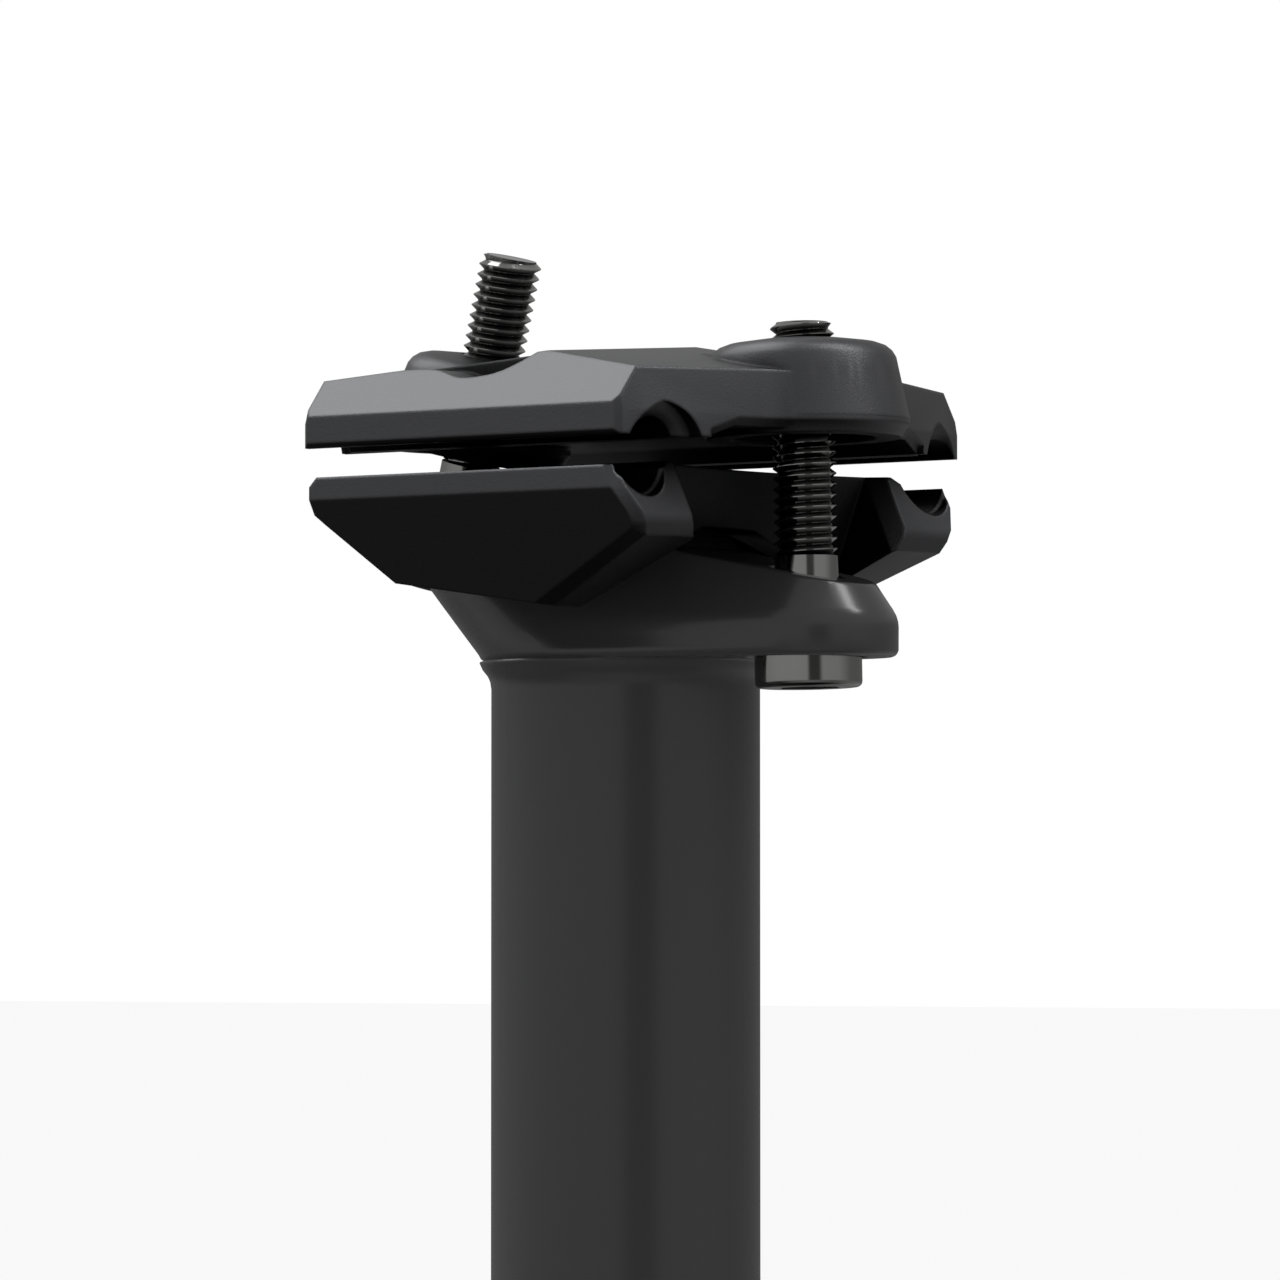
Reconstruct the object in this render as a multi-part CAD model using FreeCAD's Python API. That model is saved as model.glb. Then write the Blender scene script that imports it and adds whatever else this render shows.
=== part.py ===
# A two-bolt bicycle seatpost: a one-piece post with a forged head, a lower cradle and an
# upper clamp that grip the saddle rails, and two cap screws with domed washers.
#
# Millimetres. The origin is the centre of the tube's open lower end. +Z goes up the tube,
# +X is the front of the bicycle, and the saddle rails run along X.
import FreeCAD
import Part
import math
import os

V = FreeCAD.Vector

# post
TUBE_RADIUS = 12.7
TUBE_WALL = 2.3
POST_LENGTH = 350.0           # lower end to the centre of the rails
TUBE_SOLID_TOP = 14.0         # solid metal between the bore and the foot of the head
NECK_RADIUS = 13.5            # ring at the foot of the head
NECK_BAND = 0.8               # height of the bevelled ring
NECK_SWEEP = 1.9              # height of the hollow curve from the tube to the ring
HEAD_RADIUS = 13.85           # head where it leaves the ring
HEAD_EDGE = 0.6               # rounding of the head's lower edge
FLANK_FOOT = 0.5              # the head rises straight this far
FLANK_LEAN = 1.13             # then it leans back, per mm
FLANK_TAPER = 0.156           # and narrows, per mm

# saddle rails
RAIL_RADIUS = 3.5
RAIL_SPACING = 44.0
MOUTH_STEP = 0.55             # flare at the ends of the upper clamp's rail grooves
MOUTH_BEVEL = 0.9             # and a wider, flatter bevel round it
MOUTH_BEVEL_DEPTH = 0.4
CRADLE_MOUTH_STEP = 0.3       # the cradle's grooves only lose their edge

# tilt of the clamp on the crown of the head
PIVOT_DROP = 14.0             # pivot axis below the rail centres
CROWN_RADIUS = 10.6
SEAT_GAP = 0.1

# screws: M6 with a round head
SCREW_RADIUS = 2.97
SCREW_HEAD_RADIUS = 5.0
SCREW_HEAD_HEIGHT = 6.0
SCREW_HEAD_EDGE = 0.5
SOCKET_WIDTH = 5.0            # across the flats of the hexagon
SOCKET_DEPTH = 3.2
FRONT_SCREW_LENGTH = 28.0
REAR_SCREW_LENGTH = 26.5
FRONT_SCREW_X = 21.6          # centre of the underside of each head
FRONT_SCREW_DROP = 20.7       # below the rail centres
FRONT_SCREW_LEAN = -1.3       # degrees, positive leans to the front
REAR_SCREW_X = -21.6
REAR_SCREW_DROP = 10.45
REAR_SCREW_LEAN = 13.8
THREAD_CLEARANCE = 0.05
SCREW_TIP_BEVEL = 0.6

# washers between the screw heads and the ears
WASHER_RADIUS = 5.0
WASHER_HOLE_CLEARANCE = 0.2
DOME_RADIUS = 5.5
DOME_SINK = 1.7               # centre of the dome below the flat side
WASHER_GAP = 0.36             # dome to its seat in the ear
DOME_STEPS = 3                # the dome and its seat are turned in this many steps

# ears of the head
EAR_TIP_RADIUS = 8.35
EAR_RECESS = 2.85             # screw head that shows below the ear
FRONT_EAR_EDGE = 3.55         # upright wall of the front ear
FRONT_EAR_TIP = 3.1           # height of the bevel at the tip
EAR_SIDE_SLOPE = 0.655        # how fast the bevel closes in, per mm of height
EAR_TOP_SLOPE = 0.2           # fall of the top towards the tip
EAR_CREASE_ROUND = 1.6        # rounding between the wall and the bevel
REAR_EAR_THICKNESS = 6.2
REAR_EAR_ROOT = 10.4          # half width where it leaves the head
REAR_EAR_BEVEL = 1.6
REAR_SHELF_DROP = 8.4         # top of the head behind the crown, below the rails
FRONT_EAR_CLEARANCE = 0.65    # hole round the screw
REAR_EAR_CLEARANCE = 0.95
COUNTERBORE_CLEARANCE = 0.6
REAR_EAR_STEP = 11.2          # the rear ear ends here, clear of the cradle

# lower cradle
CRADLE_TOP_DROP = 1.0         # below the rail centres
CRADLE_HALF_WIDTH = 26.0
CRADLE_WALL = 6.6             # rail centre to the inner side of its support
CRADLE_INNER = RAIL_SPACING / 2 - CRADLE_WALL
CRADLE_BAND = 2.1             # upright outer band
CRADLE_TAPER = 0.566          # the outer cheek closes in below the band, per mm
CRADLE_FRONT_TOP = 18.8
CRADLE_NOSE = 20.65
CRADLE_NOSE_DROP = 5.15
CRADLE_NOSE_BAND = 1.05
CRADLE_NOSE_BEVEL = 0.45       # between the nose and the keel's front face
CRADLE_NOSE_BEVEL_DROP = 1.1
CRADLE_KEEL_FRONT = 6.8
CRADLE_KEEL_FRONT_DROP = 13.3
CRADLE_KEEL_REAR = -10.3
CRADLE_KEEL_REAR_DROP = 10.9
CRADLE_REAR = -17.1
CRADLE_REAR_NOSE_DROP = 5.4
CRADLE_REAR_EDGE = 0.9
CRADLE_CORNER_BEVEL = 0.9      # down the outer edge of the front, from the top to the keel
CRADLE_RIDGE_WIDTH = 1.7       # the bridge's top runs out over the supports' inner side
CRADLE_INNER_BEVEL = 1.9
CRADLE_INNER_BEVEL_WIDTH = 1.05
BRIDGE_REAR = -8.3
BRIDGE_STEP = 1.6
BRIDGE_FRONT = 14.3
BRIDGE_FRONT_SIDE = 16.8
BRIDGE_FRONT_LEAN = 0.39      # the hollow front leans back below, per mm
BRIDGE_TOP_DROP = 0.3
BRIDGE_REAR_TOP_DROP = 1.2
BRIDGE_ARCH_DROP = 6.1
BRIDGE_ARCH_FLAT = 3.9
BRIDGE_ARCH_SLOPE = 0.385
BRIDGE_ARCH_REAR = 4.5        # the arch runs from here to the front

# upper clamp
CLAMP_HALF_WIDTH = 26.3
CLAMP_BOTTOM = 1.75           # above the rail centres
CLAMP_BAND_LOW = 2.15
CLAMP_BAND_HIGH = 4.7
CLAMP_SIDE_SLOPE = 1.27       # rise of the sloped side, per mm inwards
CLAMP_CREST_X = 8.4           # the top edge of the sloped side is highest here
CLAMP_CREST = 10.0
CLAMP_REAR_FALL = 0.068       # and falls to both ends, per mm
CLAMP_FRONT_FALL = 0.165
CLAMP_CORNER_FRONT = 19.8
CLAMP_CORNER_REAR = -17.6
CLAMP_FRONT_DRAFT = 0.18      # the end faces lean in above the bosses' band, per mm
CLAMP_REAR_DRAFT = 0.27
CLAMP_END_SLANT = 0.309       # how fast the end faces run out towards the middle
CLAMP_CREST_Y = 22.1
CLAMP_CAMBER_SLOPE = 0.07     # rise of the top towards the middle, per mm
CLAMP_BELLY = 2.9             # underside between the wings, above the rail centres
CLAMP_BELLY_HALF_WIDTH = 13.2
CLAMP_BELLY_STEP = 3.2        # the underside slopes down to the wings over this width
CLAMP_CORNER_BEVEL = 0.5
BOSS_BOTTOM = 2.4
BOSS_BAND = 4.0
FRONT_BOSS_TOP = 11.65
FRONT_BOSS_RADIUS = 9.9
REAR_BOSS_TOP = 11.5
REAR_BOSS_RADIUS = 9.1
BOSS_DRAFT = 0.2
BOSS_BEVEL = 0.8
BOSS_BLEND = 6.0              # hollow blend from the boss into the end faces
BOSS_RIM = ((30, 0.7), (50, 0.75), (70, 0.9), (82, 3.0))  # steps: degrees from upright, length
BOSS_POCKET_RADIUS = 6.8
BOSS_POCKET_DEPTH = 1.6
SPINE_HALF_WIDTH = 6.5
SPINE_TOP = 10.4
SCALLOP_FLOOR = 7.75
SCALLOP_REAR = -0.6
SCALLOP_INNER = 18.5
SCALLOP_STEPS = (             # distance to the front, height above the floor
    (-11.4, 1.6), (-5.9, 1.05), (-2.6, 0.72), (-1.0, 0.2), (0.0, 0.0), (1.9, 0.02),
    (3.8, 0.26), (5.85, 1.03), (7.7, 2.1), (9.8, 3.4),
)

FAR = 60.0                    # beyond the head on every side
SPARE = 2.0                   # what is cut off again above or below a piece
CLAMP_REACH = max(FRONT_BOSS_TOP, REAR_BOSS_TOP) + SPARE
RAIL_Z = POST_LENGTH
RAIL_Y = RAIL_SPACING / 2
PIVOT_Z = RAIL_Z - PIVOT_DROP


def prism(points, axis, low, high):
    """Extrude a closed outline of points along X, Y or Z, from low to high."""
    placed = {
        "X": lambda a, b: V(low, a, b),
        "Y": lambda a, b: V(a, low, b),
        "Z": lambda a, b: V(a, b, low),
    }[axis]
    corners = [placed(a, b) for a, b in points]
    face = Part.Face(Part.makePolygon(corners + [corners[0]]))
    reach = high - low
    along = {"X": V(reach, 0, 0), "Y": V(0, reach, 0), "Z": V(0, 0, reach)}[axis]
    return face.extrude(along)


def mirrored(shape):
    """The same shape on the other side of the bicycle's centre plane."""
    return shape.mirror(V(0, 0, 0), V(0, 1, 0))


def cylinder_y(radius, x, z, half_length):
    return Part.makeCylinder(radius, 2 * half_length, V(x, -half_length, z), V(0, 1, 0))


def turned(outline):
    """Turn a closed outline of (radius, height) points about the Z axis."""
    corners = [V(r, 0, z) for r, z in outline]
    face = Part.Face(Part.makePolygon(corners + [corners[0]]))
    return face.revolve(V(0, 0, 0), V(0, 0, 1), 360)


def screw_frame(x, drop, lean):
    """Placement with its origin under the screw head and its Z axis up the screw."""
    return FreeCAD.Placement(V(x, 0, RAIL_Z - drop), FreeCAD.Rotation(V(0, 1, 0), lean))


FRONT_FRAME = screw_frame(FRONT_SCREW_X, FRONT_SCREW_DROP, FRONT_SCREW_LEAN)
REAR_FRAME = screw_frame(REAR_SCREW_X, REAR_SCREW_DROP, REAR_SCREW_LEAN)


def in_frame(shape, frame):
    placed = shape.copy()
    placed.Placement = frame.multiply(placed.Placement)
    return placed


def arm_outline(tip_radius, root_x, root_radius, height):
    """Two circles joined by their tangents: a screw hole at x = 0 and a wider root."""
    span = abs(root_x)
    way = math.copysign(1.0, root_x)
    turn = math.asin((root_radius - tip_radius) / span)
    across = math.cos(turn)
    along = -way * math.sin(turn)
    tip = [V(tip_radius * along, side * tip_radius * across, height) for side in (-1, 1)]
    root_line = root_x + root_radius * along
    root = [V(root_line, side * root_radius * across, height) for side in (-1, 1)]
    tip_end = V(-way * tip_radius, 0, height)
    root_end = V(root_x + way * root_radius, 0, height)
    edges = [
        Part.Arc(tip[1], tip_end, tip[0]).toShape(),
        Part.LineSegment(tip[0], root[0]).toShape(),
        Part.Arc(root[0], root_end, root[1]).toShape(),
        Part.LineSegment(root[1], tip[1]).toShape(),
    ]
    return Part.Wire(edges)


def head_outline(height, inset):
    """Outline of the head above its neck: screw end in front, leaning round end behind."""
    z = RAIL_Z + EAR_RECESS - FRONT_SCREW_DROP + height
    lean = FLANK_LEAN * max(0.0, height - FLANK_FOOT)
    root_radius = HEAD_RADIUS - FLANK_TAPER * height - (inset if height < HEAD_EDGE else 0)
    outline = arm_outline(EAR_TIP_RADIUS - inset, -FRONT_SCREW_X - lean, root_radius, z)
    outline.translate(V(FRONT_SCREW_X, 0, 0))
    return outline


def head():
    """Head with its front ear: upright wall below, then sides that lean in towards the crown."""
    neck_z = RAIL_Z + EAR_RECESS - FRONT_SCREW_DROP
    peak = (EAR_TIP_RADIUS - EAR_CREASE_ROUND) / EAR_SIDE_SLOPE
    turn = math.atan(EAR_SIDE_SLOPE)
    outlines = [head_outline(0, HEAD_EDGE), head_outline(0.3 * HEAD_EDGE, 0.3 * HEAD_EDGE)]
    outlines.append(head_outline(HEAD_EDGE, 0))
    height = FRONT_EAR_EDGE - EAR_CREASE_ROUND / 2
    inset = 0.0
    outlines.append(head_outline(height, inset))
    steps = 3
    for i in range(steps):
        inset += EAR_CREASE_ROUND / steps * math.tan(turn * (i + 0.5) / steps)
        height += EAR_CREASE_ROUND / steps
        outlines.append(head_outline(height, inset))
    outlines.append(head_outline(height + peak, inset + EAR_SIDE_SLOPE * peak))
    solid = Part.makeLoft(outlines, True, True)

    tip_x = FRONT_SCREW_X + EAR_TIP_RADIUS - FRONT_EAR_TIP * EAR_SIDE_SLOPE
    tip_top = neck_z + FRONT_EAR_EDGE + FRONT_EAR_TIP
    shelf = RAIL_Z - REAR_SHELF_DROP
    below = prism(
        [
            (tip_x + FAR, 0),
            (tip_x + FAR, tip_top - EAR_TOP_SLOPE * FAR),
            (0, tip_top + EAR_TOP_SLOPE * tip_x),
            (0, shelf),
            (-FAR, shelf),
            (-FAR, 0),
        ],
        "Y", -FAR, FAR)
    crown = cylinder_y(CROWN_RADIUS, 0, PIVOT_Z, FAR)
    return solid.common(below.fuse(crown))


def on_plane(edge, height):
    """True for an edge that lies in the level plane at this height."""
    box = edge.BoundBox
    return abs(box.ZMin - height) < 0.01 and abs(box.ZMax - height) < 0.01


def rear_ear():
    """Rear ear in its screw's frame: a plain round-ended plate with a bevelled upper edge."""
    low = EAR_RECESS
    outline = arm_outline(EAR_TIP_RADIUS, -REAR_SCREW_X, REAR_EAR_ROOT, low)
    plate = Part.Face(outline).extrude(V(0, 0, REAR_EAR_THICKNESS))
    rim = [e for e in plate.Edges if on_plane(e, low + REAR_EAR_THICKNESS)]
    plate = plate.makeChamfer(REAR_EAR_BEVEL, rim)
    limit = [(-FAR, 0), (-REAR_EAR_STEP, 0), (-REAR_EAR_STEP, RAIL_Z), (-FAR, RAIL_Z)]
    return in_frame(plate, REAR_FRAME).common(prism(limit, "Y", -FAR, FAR))


def dome_points(radius, inner, outer):
    """Points of the dome, from its inner to its outer radius, in the screw's frame."""
    points = []
    for i in range(DOME_STEPS + 1):
        r = inner + (outer - inner) * i / DOME_STEPS
        points.append((r, SCREW_HEAD_HEIGHT - DOME_SINK + math.sqrt(radius ** 2 - r ** 2)))
    return points


def dome_seat(frame, clearance):
    """Room for a screw: counterbore, domed washer seat and clearance hole."""
    bore_radius = WASHER_RADIUS + COUNTERBORE_CLEARANCE
    hole_radius = SCREW_RADIUS + clearance
    arc = dome_points(DOME_RADIUS + WASHER_GAP, hole_radius, bore_radius)
    low = SCREW_HEAD_HEIGHT - FAR
    top = SCREW_HEAD_HEIGHT + FAR
    return in_frame(turned([(0, low), (0, top), (hole_radius, top)] + arc + [(bore_radius, low)]), frame)


def post():
    """Tube and head in one piece."""
    neck_z = RAIL_Z + EAR_RECESS - FRONT_SCREW_DROP
    ring_z = neck_z - NECK_BAND
    sweep_z = ring_z - NECK_SWEEP
    tube = Part.makeCylinder(TUBE_RADIUS, neck_z)
    bend = 0.29 * (NECK_RADIUS - TUBE_RADIUS)
    curve = Part.Arc(
        V(TUBE_RADIUS, 0, sweep_z),
        V(TUBE_RADIUS + bend, 0, ring_z - 0.42 * NECK_SWEEP),
        V(NECK_RADIUS, 0, ring_z)).toShape()
    outline = [
        curve,
        Part.LineSegment(V(NECK_RADIUS, 0, ring_z), V(HEAD_RADIUS, 0, neck_z)).toShape(),
        Part.LineSegment(V(HEAD_RADIUS, 0, neck_z), V(0, 0, neck_z)).toShape(),
        Part.LineSegment(V(0, 0, neck_z), V(0, 0, sweep_z)).toShape(),
        Part.LineSegment(V(0, 0, sweep_z), V(TUBE_RADIUS, 0, sweep_z)).toShape(),
    ]
    neck = Part.Face(Part.Wire(outline)).revolve(V(0, 0, 0), V(0, 0, 1), 360)

    body = tube.fuse([neck, head(), rear_ear()])
    bore_radius = TUBE_RADIUS - TUBE_WALL
    bore_top = sweep_z - TUBE_SOLID_TOP
    bore = Part.makeCylinder(bore_radius, bore_top)
    bore_end = Part.makeCone(bore_radius, 0.3 * bore_radius, 0.5 * bore_radius, V(0, 0, bore_top))
    body = body.cut([bore, bore_end])
    front_seat = dome_seat(FRONT_FRAME, FRONT_EAR_CLEARANCE)
    rear_seat = dome_seat(REAR_FRAME, REAR_EAR_CLEARANCE)
    body = body.cut([front_seat, rear_seat])
    return body.removeSplitter()


def rail_groove(front_x, rear_x, step, bevel, depth):
    """Rail channel on the +Y side, with a mouth at both ends: a flare, then a flatter bevel."""
    length = front_x - rear_x
    start = V(rear_x - FAR, RAIL_Y, RAIL_Z)
    channel = Part.makeCylinder(RAIL_RADIUS, length + 2 * FAR, start, V(1, 0, 0))
    flare = RAIL_RADIUS + step
    mouth = flare + bevel
    cuts = []
    for end_x, way in ((front_x, 1), (rear_x, -1)):
        out = V(way, 0, 0)
        inner = V(end_x - way * (step + depth), RAIL_Y, RAIL_Z)
        outer = V(end_x - way * depth, RAIL_Y, RAIL_Z)
        cuts.append(Part.makeCone(RAIL_RADIUS, flare, step, inner, out))
        if bevel > 0:
            cuts.append(Part.makeCone(flare, mouth, depth, outer, out))
        cuts.append(Part.makeCylinder(mouth, FAR, V(end_x, RAIL_Y, RAIL_Z), out))
    return channel.fuse(cuts)


def front_lean():
    """How far the cradle's front runs out below its top edge, per mm."""
    return (CRADLE_NOSE - CRADLE_FRONT_TOP) / (CRADLE_NOSE_DROP - CRADLE_TOP_DROP)


def side_profile(half_width):
    """The cradle as seen from the side, up to the bridge's top."""
    top = RAIL_Z - CRADLE_TOP_DROP
    nose_high = RAIL_Z - CRADLE_NOSE_DROP
    nose_low = nose_high - CRADLE_NOSE_BAND
    keel_front = RAIL_Z - CRADLE_KEEL_FRONT_DROP
    keel_rear = RAIL_Z - CRADLE_KEEL_REAR_DROP
    rear_nose = RAIL_Z - CRADLE_REAR_NOSE_DROP
    return prism(
        [
            (CRADLE_REAR + CRADLE_REAR_EDGE, RAIL_Z),
            (CRADLE_REAR + CRADLE_REAR_EDGE, top),
            (CRADLE_REAR, top - CRADLE_REAR_EDGE),
            (CRADLE_REAR, rear_nose + CRADLE_REAR_EDGE),
            (CRADLE_REAR + CRADLE_REAR_EDGE, rear_nose),
            (CRADLE_KEEL_REAR, keel_rear),
            (CRADLE_KEEL_FRONT, keel_front),
            (CRADLE_NOSE - CRADLE_NOSE_BEVEL, nose_low - CRADLE_NOSE_BEVEL_DROP),
            (CRADLE_NOSE, nose_low),
            (CRADLE_NOSE, nose_high),
            (CRADLE_FRONT_TOP, top),
            (CRADLE_FRONT_TOP - CRADLE_TOP_DROP * front_lean(), RAIL_Z),
        ],
        "Y", -half_width, half_width)


def down_front(box):
    """True for the outer edges of a support's front, from the top to the keel, by their box."""
    below_top = box.ZMin < RAIL_Z - CRADLE_TOP_DROP - 0.01 and box.ZLength > 0.5
    return below_top and box.XMin > CRADLE_KEEL_FRONT - 0.01 and box.YMin > CRADLE_INNER + 0.01


def support():
    """One side support of the cradle, on the +Y side."""
    top = RAIL_Z - CRADLE_TOP_DROP
    high = RAIL_Z - BRIDGE_TOP_DROP
    keel_front = RAIL_Z - CRADLE_KEEL_FRONT_DROP
    band_low = top - CRADLE_BAND
    bottom = keel_front - SPARE
    closed = CRADLE_HALF_WIDTH - CRADLE_TAPER * (band_low - bottom)
    cheek = prism(
        [
            (CRADLE_INNER, top),
            (CRADLE_HALF_WIDTH, top),
            (CRADLE_HALF_WIDTH, band_low),
            (closed, bottom),
            (CRADLE_INNER, bottom),
        ],
        "X", CRADLE_REAR, CRADLE_NOSE)
    lip = RAIL_Y - RAIL_RADIUS
    ridge = prism(
        [
            (CRADLE_INNER, band_low),
            (CRADLE_INNER, high),
            (CRADLE_INNER + CRADLE_RIDGE_WIDTH, high),
            (lip, top),
            (lip, band_low),
        ],
        "X", BRIDGE_STEP + BRIDGE_REAR_TOP_DROP - BRIDGE_TOP_DROP, CRADLE_NOSE)
    solid = side_profile(CRADLE_HALF_WIDTH).common(cheek.fuse(ridge)).removeSplitter()
    corner = [e for e in solid.Edges if down_front(e.BoundBox)]
    solid = solid.makeChamfer(CRADLE_CORNER_BEVEL, corner)
    lean = front_lean()
    start = V(CRADLE_FRONT_TOP - lean * (high - top), CRADLE_INNER, high)
    wedge_corners = [start + V(-CRADLE_INNER_BEVEL, 0, 0), start + V(0, CRADLE_INNER_BEVEL_WIDTH, 0)]
    wedge_corners.append(start + V(FAR, CRADLE_INNER_BEVEL_WIDTH, 0))
    wedge_corners.append(start + V(FAR, -FAR, 0))
    wedge_corners.append(start + V(-CRADLE_INNER_BEVEL, -FAR, 0))
    wedge_face = Part.Face(Part.makePolygon(wedge_corners + [wedge_corners[0]]))
    depth = high - bottom
    wedge = wedge_face.extrude(V(lean * depth, 0, -depth))
    return solid.cut(wedge)


def bridge():
    """The web between the supports, hollowed below to sit on the crown."""
    top = RAIL_Z - BRIDGE_TOP_DROP
    rear_top = RAIL_Z - BRIDGE_REAR_TOP_DROP
    arch = RAIL_Z - BRIDGE_ARCH_DROP
    half = CRADLE_INNER + 0.5
    bottom = RAIL_Z - CRADLE_KEEL_REAR_DROP
    side = prism(
        [
            (BRIDGE_REAR, bottom),
            (BRIDGE_REAR, rear_top),
            (BRIDGE_STEP, rear_top),
            (BRIDGE_STEP + top - rear_top, top),
            (BRIDGE_FRONT_SIDE, top),
            (BRIDGE_FRONT_SIDE, bottom),
        ],
        "Y", -half, half)
    sagitta = BRIDGE_FRONT_SIDE - BRIDGE_FRONT
    notch_radius = (half ** 2 + sagitta ** 2) / (2 * sagitta)
    rim = Part.makeCircle(notch_radius, V(BRIDGE_FRONT + notch_radius, 0, top))
    depth = top - bottom + 1.0
    notch = Part.Face(Part.Wire(rim)).extrude(V(-BRIDGE_FRONT_LEAN * depth, 0, -depth))
    arch_side = arch - BRIDGE_ARCH_SLOPE * (half - BRIDGE_ARCH_FLAT)
    start = BRIDGE_ARCH_REAR
    back = (BRIDGE_FRONT - start) * EAR_TOP_SLOPE
    corners = [
        V(start, -half, arch_side + back),
        V(start, -BRIDGE_ARCH_FLAT, arch + back),
        V(start, BRIDGE_ARCH_FLAT, arch + back),
        V(start, half, arch_side + back),
        V(start, half, bottom - FAR),
        V(start, -half, bottom - FAR),
    ]
    opening = Part.Face(Part.makePolygon(corners + [corners[0]]))
    tunnel = opening.extrude(V(2 * FAR, 0, -2 * FAR * EAR_TOP_SLOPE))
    seat = cylinder_y(CROWN_RADIUS + SEAT_GAP, 0, PIVOT_Z, half)
    return side.common(side_profile(half)).cut([notch, tunnel, seat])


def lower_cradle():
    right = support()
    body = bridge().fuse([right, mirrored(right)])
    groove = rail_groove(CRADLE_FRONT_TOP, CRADLE_REAR, CRADLE_MOUTH_STEP, 0, 0)
    body = body.cut([groove, mirrored(groove)])
    return body.removeSplitter()


def end_x(corner_x, height):
    """Where an end face meets the outer side at this height: upright, then leaning in."""
    draft = CLAMP_FRONT_DRAFT if corner_x > 0 else -CLAMP_REAR_DRAFT
    return corner_x - draft * max(0.0, height - BOSS_BAND)


def wing_outline(height):
    """Plan of the wings at this height, with bevelled corners."""
    z = RAIL_Z + height
    front = end_x(CLAMP_CORNER_FRONT, height)
    rear = end_x(CLAMP_CORNER_REAR, height)
    run_out = CLAMP_END_SLANT * CLAMP_HALF_WIDTH
    bevel = CLAMP_CORNER_BEVEL
    side = CLAMP_HALF_WIDTH
    out = CLAMP_END_SLANT * bevel
    near = [
        (rear + bevel, side),
        (front - bevel, side),
        (front + out, side - bevel),
        (front + run_out, 0),
        (front + out, bevel - side),
        (front - bevel, -side),
        (rear + bevel, -side),
        (rear - out, bevel - side),
        (rear - run_out, 0),
        (rear - out, side - bevel),
    ]
    corners = [V(x, y, z) for x, y in near]
    return Part.makePolygon(corners + [corners[0]])


def wings():
    """Both wings as a long bar: upright band, sloped side, and a top that follows the profile."""
    step = CLAMP_BAND_LOW - CLAMP_BOTTOM
    peak = CLAMP_CREST + CLAMP_CAMBER_SLOPE * CLAMP_HALF_WIDTH
    run = (peak - CLAMP_BAND_HIGH) / CLAMP_SIDE_SLOPE
    half = [
        (CLAMP_HALF_WIDTH - step, RAIL_Z + CLAMP_BOTTOM),
        (CLAMP_HALF_WIDTH, RAIL_Z + CLAMP_BAND_LOW),
        (CLAMP_HALF_WIDTH, RAIL_Z + CLAMP_BAND_HIGH),
        (CLAMP_HALF_WIDTH - run, RAIL_Z + peak),
    ]
    bar = prism(half + [(-y, z) for y, z in reversed(half)], "X", -FAR, FAR)
    crest = CLAMP_CREST + CLAMP_CAMBER_SLOPE * (CLAMP_HALF_WIDTH - CLAMP_CREST_Y)
    rear = crest - CLAMP_REAR_FALL * (FAR + CLAMP_CREST_X)
    front = crest - CLAMP_FRONT_FALL * (FAR - CLAMP_CREST_X)
    drop = CLAMP_CAMBER_SLOPE * (CLAMP_HALF_WIDTH - CLAMP_CREST_Y)
    corners = [
        V(-FAR, CLAMP_HALF_WIDTH, RAIL_Z + rear - 2 * drop),
        V(CLAMP_CREST_X, CLAMP_HALF_WIDTH, RAIL_Z + crest - 2 * drop),
        V(FAR, CLAMP_HALF_WIDTH, RAIL_Z + front - 2 * drop),
        V(FAR, CLAMP_HALF_WIDTH, RAIL_Z + FAR),
        V(-FAR, CLAMP_HALF_WIDTH, RAIL_Z + FAR),
    ]
    inwards = V(0, -CLAMP_HALF_WIDTH, CLAMP_CAMBER_SLOPE * CLAMP_HALF_WIDTH)
    sky = Part.Face(Part.makePolygon(corners + [corners[0]])).extrude(inwards)
    low = Part.Face(wing_outline(BOSS_BAND)).extrude(V(0, 0, -BOSS_BAND))
    above = Part.makeLoft([wing_outline(BOSS_BAND), wing_outline(CLAMP_REACH)], True, True)
    ended = bar.common(low.fuse(above))
    shoulder = CLAMP_BELLY_HALF_WIDTH + CLAMP_BELLY_STEP
    top = RAIL_Z + FAR
    inner = prism([(-shoulder, 0), (shoulder, 0), (shoulder, top), (-shoulder, top)], "X", -FAR, FAR)
    return ended.cut(inner).fuse(middle()).cut([sky, mirrored(sky), scallop(), mirrored(scallop())])


def middle():
    """The clamp between its wings, with a bevel along the lower edge of both ends."""
    shoulder = CLAMP_BELLY_HALF_WIDTH + CLAMP_BELLY_STEP
    section = prism(
        [
            (-shoulder, RAIL_Z + CLAMP_BOTTOM),
            (-CLAMP_BELLY_HALF_WIDTH, RAIL_Z + CLAMP_BELLY),
            (CLAMP_BELLY_HALF_WIDTH, RAIL_Z + CLAMP_BELLY),
            (shoulder, RAIL_Z + CLAMP_BOTTOM),
            (shoulder, RAIL_Z + FAR),
            (-shoulder, RAIL_Z + FAR),
        ],
        "X", -FAR, FAR)
    body = section.common(clamp_plan())
    belly = RAIL_Z + CLAMP_BELLY
    lower = []
    for edge in body.Edges:
        box = edge.BoundBox
        at_end = abs(box.XMin + box.XMax) / 2 > RAIL_SPACING / 4
        if at_end and box.ZMax < belly + 0.01 and box.XLength + box.YLength > 0.01:
            lower.append(edge)
    return body.makeChamfer(BOSS_BEVEL, lower)


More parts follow.
